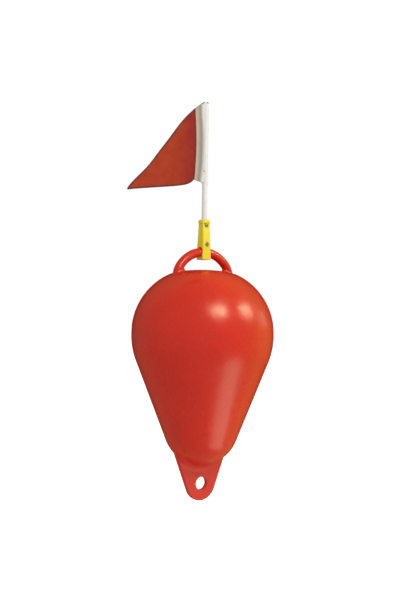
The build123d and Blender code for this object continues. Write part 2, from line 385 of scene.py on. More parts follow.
def walk(path, pitch):
    """Matrices one pitch apart along path(t), with t from 0 to 1.

    The path gives a point and the way out of the cloth there.
    """
    steps = 900
    places = []
    left = pitch / 2
    before = path(0.0)[0]
    for step in range(1, steps + 1):
        point, outward = path(step / steps)
        left -= (point - before).length
        if left <= 0:
            places.append(placed(point, point - before, outward))
            left += pitch
        before = point
    return places


# Steps of building a finish
def feed(tree, socket, value):
    """Links the socket to another one, or sets its value."""
    if isinstance(value, bpy.types.NodeSocket):
        tree.links.new(value, socket)
    else:
        socket.default_value = value


def fill_in(tree, node, **values):
    """Links or sets the node's inputs, which are named with _ for a space."""
    for label, value in values.items():
        feed(tree, node.inputs[label.replace("_", " ")], value)
    return node


def add_node(tree, kind, options=None, **values):
    """Adds a node, sets its options, and links or sets its inputs."""
    node = tree.nodes.new(f"ShaderNode{kind}")
    for name, value in (options or {}).items():
        setattr(node, name, value)
    return fill_in(tree, node, **values)


def coords(tree, kind="Object"):
    return tree.nodes.new("ShaderNodeTexCoord").outputs[kind]


def coordinate(tree, kind, axis):
    """One axis of the place on the object, or of the cloth's flat map."""
    return add_node(tree, "SeparateXYZ", Vector=coords(tree, kind)).outputs[axis]


def noise(tree, place, scale, detail, roughness=0.5):
    node = add_node(tree, "TexNoise", Vector=place, Scale=scale, Detail=detail, Roughness=roughness)
    return node.outputs["Fac"]


def bump(tree, height, strength, distance):
    return add_node(tree, "Bump", Height=height, Strength=strength, Distance=distance).outputs["Normal"]


def reckon(tree, operation, *values):
    """Output of one step of arithmetic on sockets or values."""
    node = add_node(tree, "Math", {"operation": operation})
    for socket, value in zip(node.inputs, values):
        feed(tree, socket, value)
    return node.outputs[0]


def mix_colour(tree, factor, first, second):
    """Output of a mix of two colours, each a socket or a value."""
    node = add_node(tree, "Mix", {"data_type": "RGBA"})
    for index, value in ((0, factor), (6, first), (7, second)):
        feed(tree, node.inputs[index], value)
    return node.outputs[2]


def value_range(tree, source, low, high, to_low, to_high):
    """Output of a clamped map from one range of values to another."""
    node = add_node(
        tree, "MapRange", Value=source, From_Min=low, From_Max=high, To_Min=to_low, To_Max=to_high
    )
    return node.outputs["Result"]


def new_group(name, inputs, outputs):
    """An empty shader group with named sockets, the outputs of its input node, and its output node."""
    tree = bpy.data.node_groups.new(name, "ShaderNodeTree")
    for label, kind, default in inputs:
        socket = tree.interface.new_socket(name=label, in_out="INPUT", socket_type=f"NodeSocket{kind}")
        socket.default_value = default
    for label, kind in outputs:
        tree.interface.new_socket(name=label, in_out="OUTPUT", socket_type=f"NodeSocket{kind}")
    return tree, tree.nodes.new("NodeGroupInput").outputs, tree.nodes.new("NodeGroupOutput")


SURFACE = [("Colour", "Color"), ("Roughness", "Float"), ("Normal", "Vector")]


def moulded_skin_group():
    """Clouded colour, uneven gloss and a fine peel, as on moulded plastic."""
    tree, given, result = new_group(
        "Moulded skin",
        [
            ("Colour", "Color", (0.5, 0.5, 0.5, 1.0)),
            ("Deep colour", "Color", (0.4, 0.4, 0.4, 1.0)),
            ("Cloud size", "Float", 6.0),
            ("Peel size", "Float", 420.0),
            ("Peel depth", "Float", 0.05),
            ("Smooth", "Float", 0.3),
            ("Rough", "Float", 0.45),
        ],
        SURFACE,
    )
    place = coords(tree)
    cloud = noise(tree, place, given["Cloud size"], detail=4.0, roughness=0.55)
    share = value_range(tree, cloud, 0.35, 0.7, 0.0, 1.0)
    haze = noise(tree, place, 38.0, detail=5.0, roughness=0.6)
    peel = noise(tree, place, given["Peel size"], detail=2.0)
    fill_in(
        tree, result,
        Colour=mix_colour(tree, share, given["Colour"], given["Deep colour"]),
        Roughness=value_range(tree, haze, 0.3, 0.75, given["Smooth"], given["Rough"]),
        Normal=bump(tree, peel, given["Peel depth"], 1.0 * MM),
    )
    return tree


def scuff_group():
    """Mask of thin scratches and rubbed patches, for plastic that is handled."""
    tree, given, result = new_group(
        "Scuffs",
        [("Amount", "Float", 0.3), ("Along", "Vector", (1.0, 1.0, 0.15))],
        [("Mask", "Float")],
    )
    place = coords(tree)
    stretched = add_node(tree, "Mapping", Vector=place, Scale=given["Along"]).outputs["Vector"]
    line = noise(tree, stretched, 170.0, detail=6.0, roughness=0.7)
    patch = noise(tree, place, 13.0, detail=3.0)
    thin = value_range(tree, line, 0.62, 0.72, 0.0, 1.0)
    where = value_range(tree, patch, 0.5, 0.7, 0.0, 1.0)
    both = reckon(tree, "MULTIPLY", thin, where)
    fill_in(tree, result, Mask=reckon(tree, "MULTIPLY", both, given["Amount"]))
    return tree


def weave_group():
    """Plain weave on the cloth's own flat map: threads both ways, with slubs in their colour."""
    tree, given, result = new_group(
        "Plain weave",
        [
            ("Colour", "Color", (0.5, 0.5, 0.5, 1.0)),
            ("Shade", "Float", 0.7),
            ("Threads", "Vector", (1000.0, 1000.0, 1.0)),
            ("Depth", "Float", 0.3),
        ],
        SURFACE,
    )
    half_wave = pi / 10  # scale at which one thread is half a wave
    counted = add_node(tree, "Mapping", Vector=coords(tree, "UV"), Scale=given["Threads"]).outputs["Vector"]
    checker = add_node(tree, "TexChecker", Vector=counted, Scale=1.0)
    warp, weft = [
        add_node(tree, "TexWave", {"bands_direction": way}, Vector=counted, Scale=half_wave).outputs["Fac"]
        for way in ("X", "Y")
    ]
    thread = add_node(tree, "Mix", Factor=checker.outputs["Fac"], A=warp, B=weft).outputs[0]
    slub = noise(tree, coords(tree), 60.0, detail=4.0)
    cloud = value_range(tree, slub, 0.35, 0.7, 0.0, 0.45)
    dark = value_range(tree, thread, 0.0, 0.6, 0.4, 0.0)
    lit = given["Colour"]
    shadow = add_node(tree, "VectorMath", {"operation": "SCALE"}, Vector=lit, Scale=given["Shade"])
    most = reckon(tree, "MAXIMUM", cloud, dark)
    fill_in(
        tree, result,
        Colour=mix_colour(tree, most, lit, shadow.outputs[0]),
        Roughness=value_range(tree, slub, 0.3, 0.7, 0.62, 0.8),
        Normal=bump(tree, thread, given["Depth"], 0.3 * MM),
    )
    return tree


def place_group(tree, make, name, **values):
    """A node of a group, which is built where it is first used."""
    tree_of_group = bpy.data.node_groups.get(name) or make()
    return add_node(tree, "Group", {"node_tree": tree_of_group}, **values)


def new_material(name, **values):
    """A material with its Principled shader, whose even values are set on the shader itself."""
    material = bpy.data.materials.new(name)
    material.use_nodes = True
    tree = material.node_tree
    return material, tree, fill_in(tree, tree.nodes["Principled BSDF"], **values)


def opaque(colour):
    return (*colour, 1.0)


def darker(colour, share):
    return [part * share for part in colour]


def moulded_material(name, colour, deep, smooth_to, rough_to, scuffs, satin=None, **more):
    """Moulded plastic with scuffs that dull it and pale it a little.

    satin gives two heights and the roughness that is added at the lower one and fades out to the upper one.
    """
    scuff_pale = 0.22
    scuff_dull = 0.3
    material, tree, shader = new_material(name, Specular_IOR_Level=0.3)
    skin = place_group(
        tree, moulded_skin_group, "Moulded skin",
        Colour=opaque(colour), Deep_colour=opaque(deep), Smooth=smooth_to, Rough=rough_to, **more,
    ).outputs
    worn = place_group(tree, scuff_group, "Scuffs", Amount=scuffs).outputs["Mask"]
    pale = [part + (1.0 - part) * scuff_pale for part in colour]
    roughness = reckon(tree, "MULTIPLY_ADD", worn, scuff_dull, skin["Roughness"])
    if satin:
        low, high, added = satin
        lower = value_range(tree, coordinate(tree, "Object", "Z"), low, high, added, 0.0)
        roughness = reckon(tree, "ADD", roughness, lower)
    tint = mix_colour(tree, worn, skin["Colour"], opaque(pale))
    fill_in(tree, shader, Base_Color=tint, Roughness=roughness, Normal=skin["Normal"])
    return material


def cloth_material(name, colour, shade, depth, specular):
    """Woven cloth, with the group that a caller may feed another colour to."""
    material, tree, shader = new_material(name, Specular_IOR_Level=specular)
    weave = place_group(
        tree, weave_group, "Plain weave",
        Colour=opaque(colour), Shade=shade, Threads=(1100.0, 950.0, 1.0), Depth=depth,
    )
    woven = weave.outputs
    fill_in(tree, shader, Base_Color=woven["Colour"], Roughness=woven["Roughness"], Normal=woven["Normal"])
    return material, tree, weave


def sleeve_material():
    """White cloth. Where it is doubled at the seam it is beige, with a painted pink reflection of the red
    cloth. In the fold beside the mast it is grimy and darkened by painted shade.
    """
    look = finish()
    white = opaque(look.sleeve_white)
    material, tree, weave = cloth_material(
        "Sleeve white", look.sleeve_white, shade=0.84, depth=0.25, specular=0.25
    )
    # Across the cloth: beige strip with a painted pink reflection, then the fold's grime and painted shade,
    # then white
    across = coordinate(tree, "UV", "X")
    fold_starts = value_range(tree, across, 4.0 * MM, 11.5 * MM, 0.0, 1.0)
    fold_stops = value_range(tree, across, 14.5 * MM, 21.5 * MM, 0.0, 1.0)
    strip = mix_colour(tree, fold_starts, opaque(look.strip_beige_and_reflection), opaque(look.fold_grime_and_shade))
    fill_in(tree, weave, Colour=mix_colour(tree, fold_stops, strip, white))
    return material


def pennant_material():
    """Red cloth that is darker at the seam and a little paler away from it, partly from fading and partly as
    painted light and shade.
    """
    look = finish()
    material, tree, weave = cloth_material("Flag red", look.flag_red, shade=0.62, depth=0.35, specular=0.12)
    across = coordinate(tree, "UV", "X")
    # Gradient from the seam to the tip: partly fading, partly painted light and shade
    fade_and_light = value_range(tree, across, 0.05 * fly_length(), 0.32 * fly_length(), 0.0, 1.0)
    fill_in(tree, weave, Colour=mix_colour(tree, fade_and_light, opaque(look.flag_red), opaque(look.flag_faded_and_lit)))
    return material


def steel_material():
    """Passivated steel with turning marks and a little tarnish."""
    name = "Bright steel"
    existing = bpy.data.materials.get(name)
    if existing:
        return existing
    look = finish()
    material, tree, shader = new_material(name, Metallic=1.0)
    place = coords(tree)
    grain = noise(tree, place, 900.0, detail=4.0)
    stain = value_range(tree, noise(tree, place, 240.0, detail=3.0), 0.4, 0.75, 0.0, 0.5)
    fill_in(
        tree, shader,
        Base_Color=mix_colour(tree, stain, opaque(look.steel), opaque(look.steel_stain)),
        Roughness=value_range(tree, grain, 0.3, 0.7, 0.2, 0.38),
        Normal=bump(tree, grain, 0.06, 0.4 * MM),
    )
    return material


def thread_material(name, colour):
    """Twisted sewing thread."""
    material, tree, shader = new_material(name, Sheen_Weight=0.2)
    ply = noise(tree, coords(tree), 1500.0, detail=2.0)
    share = value_range(tree, ply, 0.35, 0.65, 0.0, 1.0)
    fill_in(
        tree, shader,
        Base_Color=mix_colour(tree, share, opaque(colour), opaque(darker(colour, 0.6))),
        Roughness=value_range(tree, ply, 0.3, 0.7, 0.5, 0.7),
    )
    return material


def paint(material, *nodes):
    for node in nodes:
        NODES[node].data.materials.clear()
        NODES[node].data.materials.append(material)


class BUOY_OT_float(bpy.types.Operator):
    """Finish the float, its lug and the carry handle"""
    bl_idname = "buoy.float"
    bl_label = "Float and handle"

    def execute(self, context):
        look = finish()
        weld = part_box("tail_lug")[1].z
        lug_satin = (weld - 52 * MM, weld - 26 * MM, look.lug_satin)
        handle_low, handle_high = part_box("carry_handle")
        foot_top = handle_low.z + 0.3 * (handle_high.z - handle_low.z)
        foot_satin = (foot_top, foot_top + 20 * MM, look.float_gloss - look.handle_gloss)
        uneven = 0.12
        for name, nodes, gloss, satin in (
            ("Float red", ("float_shell", "tail_lug"), look.float_gloss, lug_satin),
            ("Handle red", ("carry_handle",), look.handle_gloss, foot_satin),
        ):
            skin = moulded_material(
                name, look.float_red, look.float_deep, gloss, gloss + uneven,
                scuffs=0.12, satin=satin, Cloud_size=5.0, Peel_size=380.0, Peel_depth=0.10,
            )
            paint(skin, *nodes)
        return {"FINISHED"}


class BUOY_OT_mast(bpy.types.Operator):
    """Finish the mast and its plug"""
    bl_idname = "buoy.mast"
    bl_label = "Mast"

    def execute(self, context):
        white = finish().mast_white
        tube = moulded_material(
            "Mast white", white, darker(white, 0.9), 0.28, 0.42,
            scuffs=0.3, Cloud_size=14.0, Peel_size=500.0, Peel_depth=0.05,
        )
        paint(tube, "mast_tube", "mast_plug")
        return {"FINISHED"}


# Clip, whose front and rear halves meet at y = 0
def nearer(value, core, kept):
    """A coordinate whose part beyond the core is kept by a share."""
    beyond = max(abs(value) - core, 0.0)
    return value - copysign(beyond * (1 - kept), value)


def drawn_in(place, head_depth):
    """A point of the clip, drawn in towards its top outside the wall of the mast's socket."""
    size = fasteners()
    up = (place.z - clip_low.z) / (clip_high.z - clip_low.z)
    above = max(up - size.clip_knee, 0.0) / (1 - size.clip_knee)
    aside = 1 - up * (clip_high.x - size.clip_head / 2) / (clip_high.x - size.clip_core)
    ahead = 1 - above * (head_depth - size.clip_face) / (head_depth - size.clip_seat)
    crown = 4 * size.clip_settle
    over = max(place.z - (clip_high.z - crown), 0.0)
    return Vector((
        nearer(place.x, size.clip_core, aside),
        nearer(place.y, size.clip_seat, ahead),
        place.z - size.clip_settle * over / crown,
    ))


class BUOY_OT_clip(bpy.types.Operator):
    """Shape the two halves of the clip and the rounded collar at its top"""
    bl_idname = "buoy.clip"
    bl_label = "Clip"

    def execute(self, context):
        look = finish()
        yellow = moulded_material(
            "Clip yellow", look.clip_yellow, look.clip_deep, 0.26, 0.4,
            scuffs=0.35, Cloud_size=18.0, Peel_size=600.0, Peel_depth=0.06,
        )
        for node in ("clip_front", "clip_rear"):
            half = self.make_half(node)
            dress(half, yellow, "flag_mast")
            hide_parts(node)
        dress(self.make_collar(), yellow, "flag_mast")
        return {"FINISHED"}

    def make_half(self, node):
        """A copy of one half, with its sides drawn in."""
        half = bpy.data.objects.new(f"{node}_half", NODES[node].data.copy())
        bpy.context.collection.objects.link(half)
        tidy(half)
        if half.data.has_custom_normals:
            bpy.ops.mesh.customdata_custom_splitnormals_clear()
        knee = clip_low.z + fasteners().clip_knee * (clip_high.z - clip_low.z)
        with editing(half):
            bpy.ops.mesh.bisect(plane_co=(0, 0, knee), plane_no=(0, 0, 1))
        head_low = clip_high.z - 10 * MM
        head_depth = max(abs(vert.co.y) for vert in half.data.vertices if vert.co.z > head_low)
        for vert in half.data.vertices:
            vert.co = drawn_in(vert.co, head_depth)
        smooth(half)
        return half

    def make_collar(self):
        """The collar, split as the clip is and cut out round the upper screw."""
        size = fasteners()
        cover = 0.3 * MM
        bore_gap = 0.25 * MM
        split = 0.4 * MM
        head_gap = 0.3 * MM
        top = clip_high.z - size.clip_settle + cover
        foot = top - size.collar_height
        middle = Vector((0, 0, (top + foot) / 2))
        width = size.collar_width
        through = 3 * size.collar_height
        collar = block("clip_collar", (width, size.collar_depth, size.collar_height), middle)
        for level, rounding, segments in (
            (middle.z, size.collar_corner, 8),
            (top, size.collar_round, 5),
            (foot, size.collar_break, 3),
        ):
            bevel_where(collar, lambda place: abs(place.z - level) < TOUCH, rounding, segments)
        deselect()
        bpy.ops.mesh.primitive_cylinder_add(
            vertices=48, radius=mast_radius + bore_gap, depth=through, location=middle
        )
        cut(collar, named("collar_bore"))
        cut(collar, block("collar_split", (2 * width, split, through), middle))
        head_radius = screws_high.x
        recess = ring("collar_recess", head_radius + head_gap, 2 * size.collar_depth, 0)
        recess.location.z = screws_high.z - head_radius
        settle(recess)
        cut(collar, recess)
        tidy(collar)
        smooth(collar)
        return collar


# Clamp screws and nuts, which lie along Y
def cross_cutter(y_face):
    """Tapered cross that cuts the driver recess."""
    size = fasteners()
    taper = 0.45
    form = (2 * size.slot_reach, 2 * size.slot_depth, size.slot_width)
    arms = []
    for turn in (0, pi / 2):
        arm = block("recess_arm", form, (0, y_face, 0))
        arm.rotation_euler = (0, turn, 0)
        settle(arm)
        with editing(arm, "VERT", lambda middle: middle.y > y_face):
            bpy.ops.transform.resize(value=(taper, 1, taper), center_override=(0, y_face, 0))
        arms.append(arm)
    cut(arms[0], arms[1], "UNION")
    return arms[0]


def screw_thread(y_end):
    """Ridge that winds round the end of the shank."""
    size = fasteners()
    ridge_share = 0.42
    sunk = 0.2 * MM
    plain_turns = 0.7
    start = y_end - (size.thread_turns + plain_turns) * size.thread_pitch
    deselect()
    bpy.ops.mesh.primitive_circle_add(
        vertices=4, radius=ridge_share * size.thread_pitch, location=(size.shank_radius - sunk, start, 0)
    )
    ridge = named("thread_ridge")
    settle(ridge)
    apply_modifier(
        ridge, "SCREW", axis="Y", screw_offset=size.thread_pitch, iterations=size.thread_turns, steps=20,
        render_steps=20, use_merge_vertices=False,
    )
    return ridge


def steel_pair(pattern, heights, name):
    """The lower and the upper copy of a screw or a nut."""
    tidy(pattern)
    pair = copies(pattern, [Matrix.Translation((0, 0, height)) for height in heights], name)
    smooth(pair)
    dress(pair, steel_material(), "flag_mast")
    return pair


class BUOY_OT_screws(bpy.types.Operator):
    """Model the two clamp screws"""
    bl_idname = "buoy.screws"
    bl_label = "Clamp screws"

    def execute(self, context):
        size = fasteners()
        thread_depth = 0.25 * MM
        end_round = 0.5 * MM
        head_radius = screws_high.x
        head_front = screws_low.y
        end = screws_high.y
        head = ring("screw_head", head_radius, size.head_height, head_front + size.head_height / 2)
        round_rim(head, head_front, size.head_round, 6)
        cut(head, cross_cutter(head_front))
        length = end - head_front - size.head_height
        core = size.shank_radius - thread_depth
        shank = ring("screw_shank", core, length, end - length / 2, vertices=32)
        round_rim(shank, end, end_round, 2)
        screw = join([head, shank, screw_thread(end)], "clamp_screw")
        heights = (screws_low.z + head_radius, screws_high.z - head_radius)
        pair = steel_pair(screw, heights, "clamp_screw_pair")
        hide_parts("clamp_screws")
        return {"FINISHED"}


class BUOY_OT_nuts(bpy.types.Operator):
    """Model the nuts of the clamp screws"""
    bl_idname = "buoy.nuts"
    bl_label = "Clamp nuts"

    def execute(self, context):
        if nuts_high.z - nuts_low.z < nuts_high.x - nuts_low.x:
            raise RuntimeError("the two nuts have to stand one above the other")
        corner_share = 0.985
        chamfer = 0.55 * MM
        corner = nuts_high.x
        flats = corner * sqrt(3) / 2
        depth = nuts_high.y - nuts_low.y
        middle = (nuts_high.y + nuts_low.y) / 2
        nut = ring("clamp_nut", corner, depth, middle, vertices=6)
        dome = ring("nut_dome", corner * corner_share, depth, middle, vertices=64)
        for face in (nuts_low.y, nuts_high.y):
            round_rim(dome, face, chamfer, 4)
        cut(nut, dome, "INTERSECT")
        cut(nut, ring("nut_bore", fasteners().shank_radius, 3 * depth, middle, vertices=32))
        pair = steel_pair(nut, (nuts_low.z + flats, nuts_high.z - flats), "clamp_nut_pair")
        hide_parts("clamp_nuts")
        return {"FINISHED"}


# Outline of the sleeve and the pennant, which meet at the seam
SWELL_AT, SWELL_SPREAD = 0.17, 0.18  # shares of the fly
HOLLOW_AT, HOLLOW_SPREAD = 0.65, 0.24
CROWDING = 1.5  # power by which the columns of a grid crowd towards the seam


def seam_foot():
    return flag_high.z - cloth().seam_length


def seam_x(height):
    """The seam's place at a height, bowed towards the mast in the middle."""
    share = (height - seam_foot()) / cloth().seam_length
    return sleeve_low.x + cloth().seam_bow * sin(pi * min(max(share, 0.0), 1.0))


def fly_length():
    return sleeve_low.x - flag_low.x - cloth().tip_back


def upper_edge(reach):
    """Height of the pennant's upper edge at a distance from the seam, with its swell and its hollow."""
    size = cloth()
    share = max(reach, 0.0) / fly_length()
    tip = flag_low.z + size.tip_width
    straight = flag_high.z + (tip - flag_high.z) * share
    swell = size.edge_swell * exp(-((share - SWELL_AT) / SWELL_SPREAD) ** 2)
    hollow = size.edge_hollow * exp(-((share - HOLLOW_AT) / HOLLOW_SPREAD) ** 2)
    return straight + swell - hollow


def lower_edge(reach):
    """Height of the pennant's lower edge there, which rises to the seam in a round corner."""
    size = cloth()
    tip_power = 10
    out = max(reach, 0.0)
    straight = flag_low.z + size.hem_slope * (fly_length() - out)
    lift = size.hem_lift * (1 - (out / fly_length()) ** tip_power)
    return straight + lift + size.corner_rise * exp(-out / size.corner_scale)


def ripple(share, up):
    """Distance of the pennant's cloth behind its flat plane, at shares of the fly and of the height."""
    long_half_wave = 0.9
    short_height = 0.3
    short_waves = 2.6
    short_lean = 0.35
    short_start = 0.3
    short_at_foot = 0.3
    grown = share * share * (3 - 2 * share)
    long_fold = sin(pi * share / long_half_wave)
    wave = sin(2 * pi * (short_waves * share - short_lean * up + short_start))
    short_fold = short_height * grown * wave * (short_at_foot + (1 - short_at_foot) * up)
    return cloth().ripple * (long_fold + short_fold)


def on_pennant(reach, height):
    """The point of the pennant's cloth at a distance from the seam and a height."""
    pull_power = 3
    share = max(reach, 0.0) / fly_length()
    low, high = lower_edge(reach), upper_edge(reach)
    pulled = (seam_x(height) - sleeve_low.x) * max(1 - share, 0.0) ** pull_power
    return Vector((sleeve_low.x + pulled - reach, ripple(share, (height - low) / (high - low)), height))


def pennant_front(reach, height):
    """The way out of the front of the cloth at that point."""
    step = 0.5 * MM
    along = on_pennant(reach + step, height) - on_pennant(reach - step, height)
    up = on_pennant(reach, height + step) - on_pennant(reach, height - step)
    return up.cross(along).normalized()


def pennant_flat(u, v):
    """Distance from the seam and height of a point of the grid, whose first columns are the tuck."""
    tucked = 0.05
    if u < tucked:
        reach = -cloth().tuck * (1 - u / tucked)
    else:
        reach = fly_length() * ((u - tucked) / (1 - tucked)) ** CROWDING
    low, high = lower_edge(reach), upper_edge(reach)
    return reach, low + (high - low) * v


def pennant_point(u, v):
    return on_pennant(*pennant_flat(u, v))


def layer_gap():
    """Distance between the middles of two layers of cloth that lie together."""
    return cloth().sheet * 1.05


def stitch_rise():
    """Height of a stitch's middle above the middle of the layer that it lies on."""
    return 0.5 * cloth().sheet + 0.15 * cloth().thread


def seam_shadow_strip(side):
    """The shape of the narrow dark strip along the seam, on the pennant's front (1) or rear (-1). The strip
    is a painted shadow of the seam.
    """
    seam_gap = 0.1 * MM
    end_gap = 0.8 * MM

    def point(u, v):
        reach = seam_gap + cloth().seam_shadow_width * u
        low, high = lower_edge(reach) + end_gap, upper_edge(reach) - end_gap
        height = low + (high - low) * v
        return on_pennant(reach, height) + side * layer_gap() * pennant_front(reach, height)

    return point


def seam_shadow_flat(u, v):
    return cloth().seam_shadow_width * u, cloth().seam_length * v


class Hem:
    """A hem folded over one edge of the pennant."""

    def __init__(self, edge, inward):
        self.edge = edge
        self.inward = inward
        self.fold = layer_gap()
        self.start = 0.6 * MM
        self.end = 0.985 * fly_length()

    def inside(self, reach, depth):
        """Flat place at a depth inside the edge, square to it."""
        step = 0.5 * MM
        height = self.edge(reach)
        slope = (self.edge(reach + step) - height) / step
        length = sqrt(1 + slope * slope)
        return reach - self.inward * slope / length * depth, height + self.inward / length * depth

    def width(self, reach):
        """The hem's width, which narrows in the tip so that the two hems don't meet."""
        most = 0.4
        return min(cloth().hem_width, most * (upper_edge(reach) - lower_edge(reach)))

    def reach(self, share):
        return self.start + (self.end - self.start) * share ** CROWDING

    def point(self, u, v):
        """A point of the strip: u along the edge, v from the front round the fold to the rear."""
        reach = self.reach(u)
        width = self.width(reach)
        layer = 0.4
        if v < layer:
            depth, off = width * (1 - v / layer), self.fold
        elif v > 1 - layer:
            depth, off = width * (v - 1 + layer) / layer, -self.fold
        else:
            turn = pi * (v - layer) / (1 - 2 * layer)
            depth, off = -self.fold * sin(turn), self.fold * cos(turn)
        place = self.inside(reach, depth)
        return on_pennant(*place) + off * pennant_front(*place)

    def flat(self, u, v):
        return self.reach(u), 2 * cloth().hem_width * v

    def stitches(self, side):
        """Places of the stitches along the hem, on its front (1) or its rear (-1)."""
        row_share = 0.72
        out = side * (self.fold + stitch_rise())

        def path(share):
            reach = self.start + (self.end - self.start) * share
            place = self.inside(reach, row_share * self.width(reach))
            front = pennant_front(*place)
            return on_pennant(*place) + out * front, side * front

        return walk(path, cloth().stitch_pitch)


def sleeve_section(height):
    """The sleeve's radius, half gap and neck, and its runs along the strip, the neck and half the round."""
    size = cloth()
    radius = mast_radius + size.slack + size.sheet / 2
    gap = layer_gap()
    neck = size.neck_round
    neck_x = -sqrt((radius + neck) ** 2 - (gap + neck) ** 2)
    opening = atan2(gap + neck, -neck_x)
    runs = (neck_x - seam_x(height), neck * (pi / 2 - opening), radius * (pi - opening))
    return radius, gap, neck_x, runs


def half_sleeve(height):
    """Run of the cloth from the seam to the far side of the mast."""
    return sum(sleeve_section(height)[3])


def sleeve_at(run, side, height):
    """A point of the sleeve at a run along the cloth from the seam, on its front (-1) or rear (1) half."""
    size = cloth()
    puffs = 95
    neck = size.neck_round
    radius, gap, neck_x, (strip, bend, around) = sleeve_section(height)
    if run < strip:
        puff = size.puff * sin(pi * run / strip) * (1 + sin(puffs * height)) / 2
        return Vector((seam_x(height) + run, side * (gap + puff), height))
    if run < strip + bend:
        angle = (run - strip) / neck
        return Vector((neck_x + neck * sin(angle), side * (gap + neck * (1 - cos(angle))), height))
    angle = (around + strip + bend - run) / radius
    return Vector((radius * cos(angle), side * radius * sin(angle), height))


def sleeve_ends(x):
    """Lowest and highest point of the sleeve at x: both ends slope from the mast to the seam."""
    size = cloth()
    share = min(max((-size.top_reach - x) / (-size.top_reach - sleeve_low.x), 0.0), 1.0)
    mast_foot = sleeve_low.z + size.foot_rise
    foot = mast_foot + (seam_foot() - mast_foot) * share
    top = sleeve_high.z + (upper_edge(0.0) - sleeve_high.z) * share
    return foot, top


def sleeve_flat(u, v):
    """Run from the seam and height of a point of the grid, before its ends are sloped."""
    height = sleeve_low.z + (sleeve_high.z - sleeve_low.z) * v
    return (1 - abs(2 * u - 1)) * half_sleeve(height), height


def sleeve_point(u, v):
    """A point of the sleeve, with u from the front seam edge round the mast to the rear one and v up."""
    side = -1.0 if u < 0.5 else 1.0
    run, level = sleeve_flat(u, v)
    foot, top = sleeve_ends(sleeve_at(run, side, level).x)
    height = foot + (top - foot) * v
    share = 1 - abs(2 * u - 1)
    return sleeve_at(share * half_sleeve(height), side, height)


def seam_stitches(side, inset):
    """Places of one row of stitches through the strip, on its front (-1) or its rear (1)."""
    outward = Vector((0, side, 0))
    low, high = seam_foot() + 11 * MM, flag_high.z - 3 * MM

    def path(share):
        height = low + (high - low) * share
        return sleeve_at(inset, side, height) + outward * stitch_rise(), outward

    return walk(path, cloth().stitch_pitch)


def on_sleeve(run, side, drop):
    """A point on the outside of the sleeve, a drop below its top edge, and the way out of the cloth there."""
    step = 0.2 * MM
    height = sleeve_ends(sleeve_at(run, side, flag_high.z).x)[1] - drop
    along = sleeve_at(run + step, side, height) - sleeve_at(run - step, side, height)
    outward = Vector((-along.y, along.x, 0)).normalized() * side
    return sleeve_at(run, side, height) + outward * stitch_rise(), outward


def slope_run():
    """Run of the cloth from the seam to where the sleeve's ends start to slope."""
    return -cloth().top_reach - sleeve_low.x


def top_edge_stitches(side):
    """Places of the stitches along the sloped top edge, on the sleeve's front (-1) or its rear (1)."""
    first = 1.0 * MM
    pitch = cloth().stitch_length
    places = []
    for drop in (0.4 * MM, 0.9 * MM):
        places += walk(lambda share: on_sleeve(first + slope_run() * share, side, drop), pitch)
    return places


def tack_places(side):
    """Places of the upright stitches at both ends of the sleeve's top, on its front (-1) or its rear (1)."""
    size = cloth()
    far_inset = 10.5 * MM
    pitch = 1.05 * size.thread
    places = []
    for middle in (slope_run(), half_sleeve(sleeve_high.z) - far_inset):
        for step in range(-3, 4):
            point, outward = on_sleeve(middle + step * pitch, side, 0.5 * size.stitch_length)
            places.append(placed(point, Vector((0, 0, 1)), outward))
    return places


def sewn(places, name, material):
    """Stitches at the places: one is modelled and the rest are copies of it."""
    size = cloth()
    stitch = ring("stitch", size.thread / 2, size.stitch_length, 0, vertices=6)
    for end in (-size.stitch_length / 2, size.stitch_length / 2):
        round_rim(stitch, end, 0.3 * size.thread, 1)
    rows = copies(stitch, places, name)
    smooth(rows, 60)
    dress(rows, material, "flag_mast")
    return rows


def cloth_piece(name, columns, rows, shape, flat, material):
    """A sheet of cloth with its thickness, finish and body."""
    piece = shaped_grid(name, columns, rows, shape, flat)
    tidy(piece)
    apply_modifier(piece, "SOLIDIFY", thickness=cloth().sheet, offset=0.0, use_even_offset=True)
    smooth(piece, 50)
    dress(piece, material, "flag_mast")
    return piece


class BUOY_OT_sleeve(bpy.types.Operator):
    """Wrap the flag's sleeve round the mast and sew it"""
    bl_idname = "buoy.sleeve"
    bl_label = "Flag sleeve"

    def execute(self, context):
        look = finish()
        sleeve = cloth_piece("sleeve_cloth", 76, 64, sleeve_point, sleeve_flat, sleeve_material())
        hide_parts("flag_sleeve")
        rows = []
        tacks = []
        for side in (-1, 1):
            for inset in (2.0 * MM, 5.0 * MM):
                rows += seam_stitches(side, inset)
            tacks += top_edge_stitches(side) + tack_places(side)
        pale = thread_material("Sleeve thread", look.sleeve_thread)
        dark = thread_material("Tack thread", look.tack_thread)
        sewing = [sewn(rows, "seam_stitches", pale), sewn(tacks, "sleeve_tacks", dark)]
        steps = 100
        shares = [(step + 0.5) / steps for step in range(steps)]
        heights = [sleeve_point(share, 1.0).z - sleeve_point(share, 0.0).z for share in shares]
        widths = [2 * half_sleeve(sleeve_flat(0.5, share)[1]) for share in shares]
        return {"FINISHED"}


